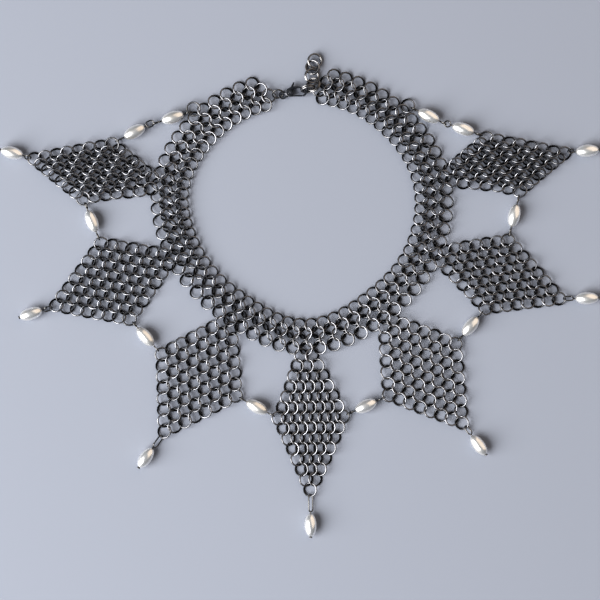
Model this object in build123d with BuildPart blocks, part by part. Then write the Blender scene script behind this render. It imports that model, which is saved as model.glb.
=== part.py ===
"""Chainmail necklace lying open on a flat surface, in millimetres.

Steel rings are woven four-in-one into a collar of four rows with seven diamond drops.
Oval beads on looped pins hang from the drops and tie them together, and a lobster clasp
hooks into a short two-in-two chain at the back of the neck. +X is the wearer's left in
this view from above, +Y runs towards the clasp, +Z is up, and the origin is the middle
of the neck opening on the surface that the necklace lies on.
"""

import cmath
import os
from collections import namedtuple
from math import atan, atan2, cos, degrees, floor, pi, radians, sin, sqrt, tan

from build123d import *

os.makedirs("parts", exist_ok=True)

# Rings of the mail: round wire closed into rings that tip alternately row by row
wire = 0.9
ring_bore = 7.0
ring_tilt = 24.0
ring_middle = (ring_bore + wire) / 2
ring_reach = ring_bore / 2 + wire
mail_height = 2 * ring_middle * sin(radians(ring_tilt)) + wire
mail_gap = 0.25
valley = wire / 2

# Spacing of linked rings, as shares of the bore that they slide in
link_pitch = 0.914 * ring_bore
row_pitch = 0.677 * ring_bore
side_pitch = 0.814 * ring_bore
neck_pitch = 0.9 * ring_bore

# Rings that carry a pin or the clasp lie flatter than the rest
rising_tilt = 16.0
rising_lift = -0.16
sinking_tilt = 10.0
sinking_lift = 0.39

# Collar: rings in each row from the neck outwards, and the stations that its oval passes
collar_counts = [61, 62, 61, 60]
links_between = 6
gather = 0.05
Station = namedtuple("Station", "angle neck band")
stations = [
    Station(-165.6, 0.979, 0.94),
    Station(-133.4, 1.015, 0.96),
    Station(-102.2, 1.061, 1.00),
    Station(-71.3, 1.033, 0.98),
    Station(-37.5, 0.982, 1.01),
    Station(-2.5, 1.023, 0.93),
    Station(32.0, 0.940, 0.95),
    Station(69.1, 0.978, 0.98),
    Station(99.4, 1.034, 0.98),
    Station(130.3, 0.985, 1.00),
    Station(164.3, 0.941, 0.94),
]
collar_turn = radians(stations[-1].angle - stations[0].angle)
neck_radius = (collar_counts[0] - 1) * link_pitch / collar_turn

# Drops: diamonds of mail, hung from three rings of the collar's last row
drop_counts = [2, 3, 4, 5, 6, 7, 8, 7, 6, 5, 4, 3, 2, 1]
widest_row = drop_counts.index(max(drop_counts))
tip_row = len(drop_counts) - 1
rows_above_drops = 3.95
settling_rows = 4
Drop = namedtuple("Drop", "name station lean row side skew bow swing reach")
drops = [
    Drop("upper_right", 2, -1.3, 1.08, 0.90, 22.0, 0.4, -6.0, 2.8),
    Drop("mid_right", 3, -1.4, 1.16, 1.03, 1.7, 0.8, 21.5, 5.5),
    Drop("lower_right", 4, -1.1, 1.16, 1.21, 1.1, -0.3, 0.5, 5.3),
    Drop("centre", 5, -0.9, 1.26, 0.93, 0.0, 1.4, -1.0, 9.6),
    Drop("lower_left", 6, 1.6, 1.15, 1.22, 1.2, 0.6, -5.0, 7.9),
    Drop("mid_left", 7, 2.0, 1.11, 1.16, -2.2, 0.5, -4.5, 4.6),
    Drop("upper_left", 8, -2.3, 1.12, 0.89, -16.5, -0.4, -3.0, 2.6),
]

# Oval beads, drilled for the pins
bead_length = 13.5
bead_diameter = 7.2
pin_wire = 0.75
pin_play = 0.08
tip_rise = 4.0

# Pins: a straight wire with a closed loop at each joint, or a flat head at a free end
loop_bore = 2.7
loop_neck = 0.5
loop_slack = 0.35
loop_least = 1.03
loop_weld = 0.6
loop_offset = 0.6
octagon_cut = 0.29
loop_half = (loop_bore + pin_wire) / 2
shortest_reach = loop_neck + pin_wire + loop_bore * loop_least
loop_floor = 0.05
tip_lay = 18.0
head_diameter = 1.9
head_thickness = 0.6

# Strands: two beads joined loop in loop, from an extra collar ring to an upper drop
StrandBead = namedtuple("StrandBead", "share bulge turn")
Strand = namedtuple("Strand", "name column row drop side beads")
strands = [
    Strand("right", 6.5, 4.0, 0, -1, [StrandBead(0.273, -0.9, -3.5), StrandBead(0.706, -0.2, 4.5)]),
    Strand("left", 55.0, 3.95, 6, 1, [StrandBead(0.252, -0.1, -5.5), StrandBead(0.71, -1.3, 4.0)]),
]

# Two-in-two chain at the back: pairs of rings, placed in ring radii from the collar's end
pair_spread = 1.04
ChainPair = namedtuple("ChainPair", "right up height facing lean")
chain_pairs = [
    ChainPair(-1.60, 0.04, 1.11, -81.0, 72.5),
    ChainPair(-0.84, 0.68, 0.86, 145.0, 32.5),
    ChainPair(-1.06, 2.00, 0.62, 0.0, 21.5),
    ChainPair(-0.94, 3.25, 0.56, 161.0, 17.5),
    ChainPair(-0.62, 4.22, 0.545, -13.0, 17.0),
]

# Lobster clasp, drawn lying on its side with its eye at the local origin
clasp_offset = complex(-20.2, -3.2)
clasp_rise = 8.0
clasp_height = 1.75
clasp_length = 13.4
clasp_thickness = 3.4
nose_thickness = 1.7
clasp_back = 4.9
clasp_belly = -0.9
claw_left = 1.2
claw_rise = 3.4
opening_left = 3.4
nose_width = 1.0
opening_right = clasp_length - nose_width
opening_top = 4.0
opening_bottom = -0.6
nose_bore = 2.6
nose_setback = 0.1
gate_left = 4.7
nose_length = 2.2
gate_end = clasp_length - nose_length
gate_top = 1.0
eye_radius = 2.4
eye_bore = 3.2
eye_setback = 0.8
eye_neck = 2.2
eye_thickness = 0.9

# Lever of the clasp: an arm that closes the claw and a thumb piece past the back of it
pivot_along = 3.3
pivot_up = 1.1
lug_radius = 1.9
pocket_radius = 1.45
slot_width = 1.4
slot_room = 0.3
lever_thickness = 1.2
lever_radius = 1.2
arm_thickness = 0.85
arm_slope = 0.3
arm_gap = 0.25
lug_gap = 0.2
rivet_diameter = 0.9
rivet_seat = 0.02
rivet_play = 0.05
Corner = namedtuple("Corner", "along up")
heel_corners = [Corner(1.1, 0.4), Corner(-1.1, -0.2), Corner(-0.7, -1.6)]
thumb_corners = [Corner(-0.6, 0.9), Corner(2.0, 6.1), Corner(2.7, 6.3), Corner(2.0, 3.9), Corner(1.1, 0.1)]
thumb_room = [Corner(-1.4, 1.3), Corner(-0.4, 4.1), Corner(2.5, 4.1), Corner(2.3, 0.0), Corner(0.0, 0.0)]
heel_room = 1.1

# Jump ring between the collar's left end and the eye of the clasp
jump_wire = 0.8
jump_bore = 5.4
jump_roll = 48.0


def between(values, place):
    """Smooth value at a place along evenly spaced values, straight past both ends."""
    last = len(values) - 1
    padded = [2 * values[0] - values[1], *values, 2 * values[-1] - values[-2]]
    i = min(max(floor(place), 0), last - 1)
    t = place - i
    a, b, c, d = padded[i : i + 4]
    if t < 0:
        return b + t * (c - a) / 2
    if t > 1:
        return c + (t - 1) * (d - b) / 2
    bend = 1.5 * (b - c) + (d - a) / 2
    return b + t * ((c - a) / 2 + t * (a - 2.5 * b + 2 * c - d / 2 + t * bend))


def unit(number):
    """Direction of a complex number."""
    return number / abs(number)


def collar_point(column, row):
    """Place of a ring of the collar, seen from above, as a complex number."""
    place = (column - 0.5) / links_between
    radius = neck_radius * between([s.neck for s in stations], place)
    radius += row * row_pitch * between([s.band for s in stations], place)
    place -= gather * row / 3 * sin(2 * pi * place) / links_between
    angle = radians(between([s.angle for s in stations], place))
    return complex(-radius * sin(angle), -radius * cos(angle))


def collar_along(column, row):
    """Step from one ring to the next along a row of the collar."""
    return collar_point(column + 0.5, row) - collar_point(column - 0.5, row)


def drop_point(drop, across, row):
    """Place and row direction of a ring of a drop: steps across from its middle, rows down."""
    column = 0.5 + links_between * drop.station
    neck = collar_point(column, rows_above_drops)
    axis = unit(neck) * cmath.rect(1, radians(drop.lean))
    share = row / tip_row
    middle = neck + axis * share * tip_row * row_pitch * drop.row
    middle += axis * 1j * drop.bow * 4 * share * (1 - share)
    side = axis * -1j * cmath.rect(side_pitch * drop.side, radians(drop.skew))
    neck_step = collar_along(column, rows_above_drops)
    neck_side = unit(neck_step) * min(abs(neck_step), neck_pitch)
    blend = max(0, 1 - row / settling_rows) ** 2
    step = side * (1 - blend) + neck_side * blend
    return middle + step * across, unit(step)


def drop_axis(drop):
    """Direction that a drop hangs in."""
    return unit(collar_point(0.5 + links_between * drop.station, 0)) * cmath.rect(1, radians(drop.lean))


def row_sign(row):
    """Rows tip alternately about the line that runs out from the neck."""
    return 1 if round(row) % 2 == 0 else -1


def ring_plane(place, along, tilt, lift):
    """Plane of a ring: its row direction tips up by the tilt, its middle is lifted."""
    lean = radians(tilt)
    return Plane(
        origin=(place.real, place.imag, mail_height / 2 + lift),
        x_dir=(along.real * cos(lean), along.imag * cos(lean), sin(lean)),
        z_dir=(-along.real * sin(lean), -along.imag * sin(lean), cos(lean)),
    )


def carrying_plane(place, along, row, out):
    """Plane of a ring that carries something on its outer side, which rises or sinks with its row."""
    sign = row_sign(row)
    if sign * out > 0:
        return ring_plane(place, along, sign * rising_tilt, rising_lift)
    return ring_plane(place, along, sign * sinking_tilt, sinking_lift)


def corner_plane(drop, side):
    """Ring at the right (-1) or left (+1) corner of a drop, on its row of growing columns."""
    place, along = drop_point(drop, side * (drop_counts[widest_row] - 1) / 2, widest_row)
    return carrying_plane(place, along, 4 + widest_row, side)


def tip_plane(drop):
    """Last ring of a drop."""
    place, along = drop_point(drop, 0, tip_row)
    return ring_plane(place, along, row_sign(4 + tip_row) * ring_tilt, 0)


def strand_plane(strand):
    """Extra collar ring that carries a strand."""
    place = collar_point(strand.column, strand.row)
    return carrying_plane(place, unit(collar_along(strand.column, strand.row)), 4, -strand.side)


def strand_direction(strand):
    """Level direction from a strand's extra ring to the drop's corner that it ties."""
    span = corner_plane(drops[strand.drop], strand.side).origin - strand_plane(strand).origin
    return Vector(span.X, span.Y, 0).normalized()


end_columns = {"right": -0.5, "left": collar_counts[1] - 1.5}
end_planes = {
    name: carrying_plane(collar_point(column, 1), unit(collar_along(column, 1)), 1, out)
    for (name, column), out in zip(end_columns.items(), (-1, 1))
}


def ring_point(plane, radius, towards):
    """Point of a ring's wire that lies furthest in a direction."""
    angle = atan2(towards.dot(plane.y_dir), towards.dot(plane.x_dir))
    return plane.origin + plane.x_dir * radius * cos(angle) + plane.y_dir * radius * sin(angle)


def wire_direction(plane, towards):
    """Direction of a ring's wire at its furthest point in a direction."""
    angle = atan2(towards.dot(plane.y_dir), towards.dot(plane.x_dir))
    return plane.y_dir * cos(angle) - plane.x_dir * sin(angle)


def flat_vector(number):
    """Level vector from a complex number."""
    return Vector(number.real, number.imag, 0)


def chain_middle(pair):
    """Middle of a pair of chain rings, measured from the collar's right end ring."""
    end_place = end_planes["right"].origin
    return Vector(
        end_place.X + pair.right * ring_middle,
        end_place.Y + pair.up * ring_middle,
        pair.height * ring_middle,
    )


# Woven bands are solids with the outline of their outer rings


def crossing(first, second):
    """Outer valley between two neighbouring rings of an outline that runs anticlockwise."""
    half = abs(second - first) / 2
    depth = sqrt(max(ring_reach**2 - half**2, valley**2))
    return (first + second) / 2 + unit(second - first) * -1j * depth


def notch(before, ring, after):
    """A ring in a notch shows only where its neighbours don't meet."""
    return [ring] if abs(after - before) > 2 * ring_reach else []


def draw_scallops(centres):
    """Closed outline round rings that are given anticlockwise."""
    valleys = [crossing(a, b) for a, b in zip(centres, centres[1:] + centres[:1])]
    for centre, start, end in zip(centres, valleys[-1:] + valleys[:-1], valleys):
        turn = (cmath.phase(end - centre) - cmath.phase(start - centre)) % (2 * pi)
        top = centre + unit(start - centre) * cmath.rect(ring_reach, turn / 2)
        ThreePointArc((start.real, start.imag), (top.real, top.imag), (end.real, end.imag))


def collar_outline():
    """Outer rings of the collar, anticlockwise seen from above."""
    last = collar_counts[0] - 1
    rows = [[collar_point((last + 1 - count) / 2 + k, row) for k in range(count)]
            for row, count in enumerate(collar_counts)]
    left = notch(rows[0][-1], rows[1][-2], rows[2][-1])
    right = notch(rows[2][0], rows[1][1], rows[0][0])
    return rows[0] + left + [rows[2][-1]] + rows[3][::-1] + [rows[2][0]] + right


def drop_outline(drop):
    """Outer rings of a drop without its three carrying rings, anticlockwise seen from above."""
    def edge(side):
        ends = [drop_point(drop, side * (count - 1) / 2, row)[0]
                for row, count in enumerate(drop_counts[:-1])]
        inner = drop_point(drop, side * (drop_counts[widest_row] - 3) / 2, widest_row)[0]
        above = ends[:widest_row]
        below = ends[widest_row + 1:]
        return above + notch(above[-1], inner, below[0]) + below
    return edge(1) + edge(-1)[::-1]


split_direction = unit(collar_point(collar_counts[0] / 2, 1.5))
split_plane = Plane(origin=(0, 0, 0), z_dir=flat_vector(split_direction * 1j))
halves = {"right": Keep.TOP, "left": Keep.BOTTOM}

for name, kept_half in halves.items():
    strand = next(s for s in strands if s.name == name)
    reliefs = [ring_point(strand_plane(strand), ring_middle - loop_bore / 2, strand_direction(strand))]
    chain_relief = chain_middle(chain_pairs[1])
    with BuildPart() as collar_half:
        with BuildSketch():
            with BuildLine():
                draw_scallops(collar_outline())
            make_face()
            with Locations(*[(place.X, place.Y) for place in reliefs]):
                Circle(loop_half + mail_gap, mode=Mode.SUBTRACT)
            with Locations((chain_relief.X, chain_relief.Y)):
                Circle(ring_reach + mail_gap, mode=Mode.SUBTRACT)
        extrude(amount=mail_height)
        split(bisect_by=split_plane, keep=kept_half)
        with Locations(end_planes[name], strand_plane(strand)):
            Torus(ring_middle, wire / 2)
    collar_half.part.label = f"collar_{name}_mail"
    export_step(collar_half.part, f"parts/collar_{name}_mail.step")

for drop in drops:
    middle_column = 0.5 + links_between * drop.station
    near_rings = [collar_point(middle_column + step, 3) for step in (-3, -2, -1, 0, 1, 2, 3)]
    with BuildPart() as panel:
        with BuildSketch():
            with BuildLine():
                draw_scallops(drop_outline(drop))
            make_face()
            with Locations(*[(place.real, place.imag) for place in near_rings]):
                Circle(ring_reach + mail_gap, mode=Mode.SUBTRACT)
        extrude(amount=mail_height)
        with Locations(corner_plane(drop, -1), corner_plane(drop, 1), tip_plane(drop)):
            Torus(ring_middle, wire / 2)
    panel.part.label = f"drop_{drop.name}_mail"
    export_step(panel.part, f"parts/drop_{drop.name}_mail.step")


# Beads and pins share one frame: the origin at the bead's middle, x along its hole

Loop = namedtuple("Loop", "sign reach roll shift")


def bead_plane(place, heading, rise):
    """Frame of a bead that lies on the surface, its front end raised."""
    ahead = flat_vector(heading) * cos(radians(rise)) + Vector(0, 0, sin(radians(rise)))
    return Plane(
        origin=(place.real, place.imag, bead_diameter / 2),
        x_dir=ahead,
        z_dir=flat_vector(heading * 1j),
    )


def loop_frame(frame, sign, roll):
    """Outward direction of a loop and the direction across it, rolled from upright."""
    outward = frame.x_dir * sign
    upright = frame.x_dir.cross(frame.z_dir)
    return outward, upright * cos(radians(roll)) + frame.z_dir * sin(radians(roll))


def ring_loop(frame, sign, lay, ring):
    """Loop that takes a ring's wire, laid over from square to it and kept clear of the surface."""
    wire_point = ring_point(ring, ring_middle, frame.x_dir * -sign)
    wire_line = wire_direction(ring, frame.x_dir * -sign)
    upright = frame.x_dir.cross(frame.z_dir)
    square = degrees(atan(-upright.dot(wire_line) / frame.z_dir.dot(wire_line)))
    roll = square + (lay if square > 0 else -lay)
    outward, across = loop_frame(frame, sign, roll)
    bead_end = frame.origin + outward * (bead_length / 2)
    gap = (wire_point - bead_end).dot(outward)
    reach = max(gap + wire / 2 + loop_slack, shortest_reach)
    middle = bead_end + outward * (loop_neck + pin_wire + reach) / 2
    lowest = (loop_half + pin_wire / 2) * abs(across.Z) + loop_floor
    shift = (wire_point - bead_end).dot(across)
    if abs(across.Z) > 0.1:
        shift = max(shift, (lowest - middle.Z) / across.Z)
    furthest = loop_half * loop_offset
    return Loop(sign, reach, roll, max(min(shift, furthest), -furthest))


def make_bead(name, frame):
    """Oval bead with a drilled hole, turned about its long axis."""
    with BuildPart() as bead:
        with BuildSketch(frame):
            Ellipse(bead_length / 2, bead_diameter / 2)
            with Locations((0, pin_wire / 2 + pin_play)):
                Rectangle(bead_length, bead_diameter, align=(Align.CENTER, Align.MAX), mode=Mode.SUBTRACT)
        revolve(axis=Axis(frame.origin, frame.x_dir))
    bead.part.label = name
    export_step(bead.part, f"parts/{name}.step")


def make_pin(name, frame, loops):
    """Pin through a bead: a closed loop for each entry, and a head where there is one loop."""
    free_end = bead_length / 2 + pin_play + head_thickness
    ends = {-1: free_end, 1: free_end}
    for loop in loops:
        sag = loop_half - sqrt(loop_half**2 - loop.shift**2)
        ends[loop.sign] = bead_length / 2 + loop_neck + pin_wire * loop_weld + sag
    with BuildPart() as pin:
        for loop in loops:
            outward, across = loop_frame(frame, loop.sign, loop.roll)
            bead_end = frame.origin + outward * (bead_length / 2)
            flat = Plane(
                origin=bead_end + across * loop.shift,
                x_dir=outward,
                z_dir=outward.cross(across),
            )
            outer_length = loop.reach + pin_wire - loop_neck
            outer_width = 2 * loop_half + pin_wire
            with BuildSketch(flat):
                with Locations((loop_neck + outer_length / 2, 0)):
                    SlotOverall(outer_length, outer_width)
                    SlotOverall(outer_length - 2 * pin_wire, outer_width - 2 * pin_wire, mode=Mode.SUBTRACT)
            extrude(amount=pin_wire / 2, both=True)
        chamfer(pin.edges(), pin_wire * octagon_cut)
        start = frame.origin - frame.x_dir * ends[-1]
        with BuildSketch(Plane(origin=start, z_dir=frame.x_dir)):
            Circle(pin_wire / 2)
        extrude(amount=ends[-1] + ends[1])
        if len(loops) == 1:
            outward = frame.x_dir * -loops[0].sign
            with BuildSketch(Plane(origin=frame.origin + outward * free_end, z_dir=-outward)):
                Circle(head_diameter / 2)
            extrude(amount=head_thickness)
    pin.part.label = name
    export_step(pin.part, f"parts/{name}.step")


# A bead on each drop's tip, with a headed pin
for drop in drops:
    tip = tip_plane(drop)
    heading = drop_axis(drop) * cmath.rect(1, radians(drop.swing))
    hook = ring_point(tip, ring_middle, flat_vector(heading))
    away = heading * (drop.reach + bead_length / 2)
    frame = bead_plane(complex(hook.X, hook.Y) + away, heading, tip_rise)
    loop = ring_loop(frame, -1, tip_lay, tip)
    make_bead(f"bead_tip_{drop.name}", frame)
    make_pin(f"pin_tip_{drop.name}", frame, [loop])

# A bead between each drop and the next, looped to a corner of both
for drop, following in zip(drops, drops[1:]):
    start = corner_plane(drop, 1)
    finish = corner_plane(following, -1)
    span = finish.origin - start.origin
    heading = unit(complex(span.X, span.Y))
    middle = (start.origin + finish.origin) / 2
    frame = bead_plane(complex(middle.X, middle.Y), heading, 0)
    make_bead(f"bead_link_{drop.name}", frame)
    loops = [ring_loop(frame, -1, 0, start), ring_loop(frame, 1, 0, finish)]
    make_pin(f"pin_link_{drop.name}", frame, loops)

# Two beads in each strand, their inner loops passed through each other
for strand in strands:
    start = strand_plane(strand)
    finish = corner_plane(drops[strand.drop], strand.side)
    span = finish.origin - start.origin
    chord = complex(span.X, span.Y)
    base = complex(start.origin.X, start.origin.Y)
    frames = []
    for placed in strand.beads:
        place = base + chord * placed.share + unit(chord) * 1j * placed.bulge
        heading = unit(chord) * cmath.rect(1, radians(placed.turn))
        frames.append(bead_plane(place, heading, 0))
    inner, outer = frames
    joint = (outer.origin - outer.x_dir * bead_length / 2) - (inner.origin + inner.x_dir * bead_length / 2)
    shared = max((joint.length + loop_slack) / 2, shortest_reach)
    inner_loops = [ring_loop(inner, -1, 0, start), Loop(1, shared, 0, 0)]
    outer_loops = [Loop(-1, shared, 90, 0), ring_loop(outer, 1, 0, finish)]
    make_bead(f"bead_strand_{strand.name}_inner", inner)
    make_pin(f"pin_strand_{strand.name}_inner", inner, inner_loops)
    make_bead(f"bead_strand_{strand.name}_outer", outer)
    make_pin(f"pin_strand_{strand.name}_outer", outer, outer_loops)

# Two-in-two chain: each pair of rings lies side by side through the next pair
end_place = end_planes["right"].origin
chain_planes = []
for pair in chain_pairs:
    facing = radians(pair.facing)
    lean = radians(pair.lean)
    normal = Vector(sin(lean) * cos(facing), sin(lean) * sin(facing), cos(lean))
    for side in (-1, 1):
        place = chain_middle(pair) + normal * side * pair_spread / 2
        chain_planes.append(Plane(origin=place, z_dir=normal))

with BuildPart() as extender_chain:
    with Locations(*chain_planes):
        Torus(ring_middle, wire / 2)
extender_chain.part.label = "extender_chain"
export_step(extender_chain.part, "parts/extender_chain.step")

# Clasp frame: x from the eye to the nose, which rides up on the chain's rings
clasp_tip = radians(clasp_rise)
clasp = Plane(
    origin=(end_place.X + clasp_offset.real, end_place.Y + clasp_offset.imag, clasp_height),
    x_dir=(cos(clasp_tip), 0, sin(clasp_tip)),
    z_dir=(-sin(clasp_tip), 0, cos(clasp_tip)),
)
claw_half = (clasp_length - claw_left) / 2
opening_half = (opening_right - opening_left) / 2
nose_radius = nose_bore / 2
pocket_right = pivot_along + lug_radius + lug_gap
pocket_bottom = clasp_belly - slot_room
pivot = (pivot_along, pivot_up)


def from_pivot(corners):
    """Places in the clasp's frame of corners measured from the pivot."""
    return [(pivot_along + corner.along, pivot_up + corner.up) for corner in corners]


with BuildPart() as clasp_body:
    with BuildSketch(clasp):
        with Locations((claw_left + claw_half, clasp_back - claw_rise)):
            Ellipse(claw_half, claw_rise)
        with Locations((claw_left + claw_half, clasp_belly)):
            Rectangle(clasp_length, claw_rise, align=(Align.CENTER, Align.MAX), mode=Mode.SUBTRACT)
        with Locations((opening_left + opening_half, (opening_top + opening_bottom) / 2)):
            Ellipse(opening_half, (opening_top - opening_bottom) / 2, mode=Mode.SUBTRACT)
        with Locations((opening_right - nose_setback - nose_radius, nose_radius)):
            Circle(nose_radius, mode=Mode.SUBTRACT)
        with Locations((gate_left, clasp_belly)):
            Rectangle(gate_end - gate_left, gate_top - clasp_belly, align=Align.MIN, mode=Mode.SUBTRACT)
        with Locations(pivot):
            Circle(lug_radius)
    extrude(amount=clasp_thickness / 2, both=True)
    with BuildSketch(clasp):
        with Locations((-eye_setback, 0)):
            Circle(eye_radius)
            Rectangle(eye_setback + pivot_along, eye_neck, align=(Align.MIN, Align.CENTER))
    extrude(amount=eye_thickness / 2, both=True)
    with BuildSketch(clasp):
        with Locations((-eye_setback, 0)):
            Circle(eye_bore / 2)
    extrude(amount=clasp_thickness, both=True, mode=Mode.SUBTRACT)
    with BuildSketch(clasp):
        with Locations(pivot):
            Circle(pocket_radius)
        with BuildLine():
            Polyline(*from_pivot(thumb_room), close=True)
        make_face()
        with BuildLine():
            Polyline((pivot_along - pocket_radius, pivot_up), (pivot_along - heel_room, pocket_bottom),
                     (pocket_right, pocket_bottom), (pocket_right, pivot_up + slot_room), close=True)
        make_face()
    extrude(amount=slot_width / 2, both=True, mode=Mode.SUBTRACT)
    with BuildSketch(clasp):
        with Locations(pivot):
            Circle(rivet_diameter / 2 + rivet_seat)
    extrude(amount=clasp_thickness, both=True, mode=Mode.SUBTRACT)
    with BuildSketch(Plane(origin=clasp.origin, x_dir=clasp.x_dir, z_dir=-clasp.y_dir)):
        with BuildLine():
            Polyline((-2 * eye_radius, -clasp_thickness / 2), (gate_left, -clasp_thickness / 2),
                     (clasp_length, -nose_thickness / 2), (clasp_length, nose_thickness / 2),
                     (gate_left, clasp_thickness / 2), (-2 * eye_radius, clasp_thickness / 2), close=True)
        make_face()
    extrude(amount=clasp_length, both=True, mode=Mode.INTERSECT)
clasp_body.part.label = "clasp_body"
export_step(clasp_body.part, "parts/clasp_body.step")

with BuildPart() as clasp_lever:
    with BuildSketch(clasp):
        with Locations(pivot):
            Circle(lever_radius)
        with BuildLine():
            Polyline(*from_pivot(heel_corners), (pivot_along, clasp_belly),
                     (gate_end - arm_gap - arm_slope, clasp_belly),
                     (gate_end - arm_gap, clasp_belly + arm_thickness),
                     (pocket_right, clasp_belly + arm_thickness), close=True)
        make_face()
        with BuildLine():
            Polyline(*from_pivot(thumb_corners), close=True)
        make_face()
        with Locations(pivot):
            Circle(rivet_diameter / 2 + rivet_play, mode=Mode.SUBTRACT)
    extrude(amount=lever_thickness / 2, both=True)
clasp_lever.part.label = "clasp_lever"
export_step(clasp_lever.part, "parts/clasp_lever.step")

with BuildPart() as clasp_rivet:
    with BuildSketch(clasp):
        with Locations(pivot):
            Circle(rivet_diameter / 2)
    extrude(amount=clasp_thickness / 2, both=True)
clasp_rivet.part.label = "clasp_rivet"
export_step(clasp_rivet.part, "parts/clasp_rivet.step")

# Jump ring, rolled up on its edge through the collar's left end ring and the clasp's eye
jump_middle = (jump_bore + jump_wire) / 2
roll = radians(jump_roll)
end_wire = ring_point(end_planes["left"], ring_middle, Vector(1, 0, 0))
eye_hole = clasp.from_local_coords((-eye_setback, 0, 0))
jump_line = Vector(eye_hole.X - end_wire.X, eye_hole.Y - end_wire.Y, 0).normalized()
jump_side = Vector(0, 0, 1).cross(jump_line)
jump_height = jump_middle * sin(roll) + jump_wire / 2 + loop_floor
jump_drop = jump_height - eye_hole.Z
jump_chord = sqrt(jump_middle**2 - (jump_drop / sin(roll))**2)
jump_centre = eye_hole - jump_line * jump_chord + jump_side * jump_drop / tan(roll)
jump_normal = Vector(0, 0, 1) * cos(roll) - jump_side * sin(roll)
with BuildPart() as clasp_ring:
    with Locations(Plane(origin=(jump_centre.X, jump_centre.Y, jump_height), z_dir=jump_normal)):
        Torus(jump_middle, jump_wire / 2)
clasp_ring.part.label = "clasp_ring"
export_step(clasp_ring.part, "parts/clasp_ring.step")
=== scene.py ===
"""Looks of a chainmail necklace that lies open on a pale floor, in metres.

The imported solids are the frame. Interlinked rings take the place of the woven bands, and
round wire, turned beads and a softened clasp take the place of the rest. The sizes and the
layout repeat those of the solids, so each piece lies where its node lies. Only the rings
inside the two upper drops stand steeper than the band that they take the place of.
"""

import cmath
import logging
import math
import random
from collections.abc import Iterable, Sequence
from dataclasses import dataclass, field
from enum import Enum

import bmesh
import bpy
from mathutils import Matrix, Vector

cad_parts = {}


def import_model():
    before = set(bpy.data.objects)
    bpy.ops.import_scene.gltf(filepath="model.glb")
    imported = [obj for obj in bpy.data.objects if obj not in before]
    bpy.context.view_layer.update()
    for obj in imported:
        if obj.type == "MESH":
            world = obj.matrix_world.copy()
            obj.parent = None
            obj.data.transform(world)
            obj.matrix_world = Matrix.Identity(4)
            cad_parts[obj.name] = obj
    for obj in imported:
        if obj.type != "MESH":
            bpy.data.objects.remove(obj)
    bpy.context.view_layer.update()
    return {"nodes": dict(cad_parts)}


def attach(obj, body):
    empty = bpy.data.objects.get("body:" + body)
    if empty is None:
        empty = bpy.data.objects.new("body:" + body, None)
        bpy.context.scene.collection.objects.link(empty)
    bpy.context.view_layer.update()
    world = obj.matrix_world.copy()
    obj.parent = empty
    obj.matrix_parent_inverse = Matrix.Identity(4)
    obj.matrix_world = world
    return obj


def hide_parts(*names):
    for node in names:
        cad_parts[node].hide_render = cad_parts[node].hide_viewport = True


MM = 0.001
BODY = "necklace"
LEVER_BODY = "lever"
TONE = "tone"
Colour = tuple[float, float, float]

log = logging.getLogger("necklace")


# Geometry helpers


@dataclass(frozen=True)
class Seat:
    """Where a ring, bead or loop sits: its middle, its x direction and its normal."""

    origin: Vector
    x_dir: Vector
    z_dir: Vector

    @property
    def y_dir(self) -> Vector:
        """Direction square to the other two."""
        return self.z_dir.cross(self.x_dir)

    def matrix(self) -> Matrix:
        """Transform from the seat's own frame to the necklace's."""
        turned = Matrix((self.x_dir, self.y_dir, self.z_dir)).transposed().to_4x4()
        turned.translation = self.origin
        return turned


def between(values: Sequence[float], place: float) -> float:
    """Smooth value at a place along evenly spaced values, straight past both ends.

    Args:
        values: The values at places 0, 1, 2 and so on.
        place: Where the value is wanted.

    Returns:
        The value there.
    """
    last = len(values) - 1
    padded = [2 * values[0] - values[1], *values, 2 * values[-1] - values[-2]]
    i = min(max(math.floor(place), 0), last - 1)
    t = place - i
    a, b, c, d = padded[i : i + 4]
    if t < 0:
        return b + t * (c - a) / 2
    if t > 1:
        return c + (t - 1) * (d - b) / 2
    bend = 1.5 * (b - c) + (d - a) / 2
    return b + t * ((c - a) / 2 + t * (a - 2.5 * b + 2 * c - d / 2 + t * bend))


def unit(number: complex) -> complex:
    """Direction of a complex number."""
    return number / abs(number)


def flat_vector(number: complex) -> Vector:
    """Level vector from a complex number."""
    return Vector((number.real, number.imag, 0.0))


def ring_point(seat: Seat, radius: float, towards: Vector) -> Vector:
    """Point on the middle of a ring's wire, at the radius given, that lies furthest in a direction."""
    angle = math.atan2(towards.dot(seat.y_dir), towards.dot(seat.x_dir))
    return seat.origin + seat.x_dir * radius * math.cos(angle) + seat.y_dir * radius * math.sin(angle)


def wire_direction(seat: Seat, towards: Vector) -> Vector:
    """Unit vector along a ring's wire at its furthest point in a direction."""
    angle = math.atan2(towards.dot(seat.y_dir), towards.dot(seat.x_dir))
    return seat.y_dir * math.cos(angle) - seat.x_dir * math.sin(angle)


def edges_among(verts: Iterable[bmesh.types.BMVert]) -> list[bmesh.types.BMEdge]:
    """Edges that join the given vertices to each other.

    Args:
        verts: The vertices.

    Returns:
        Each such edge once.
    """
    chosen = set(verts)
    found = {edge: None for vert in chosen for edge in vert.link_edges if edge.other_vert(vert) in chosen}
    return sorted(found, key=lambda edge: edge.index)


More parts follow.
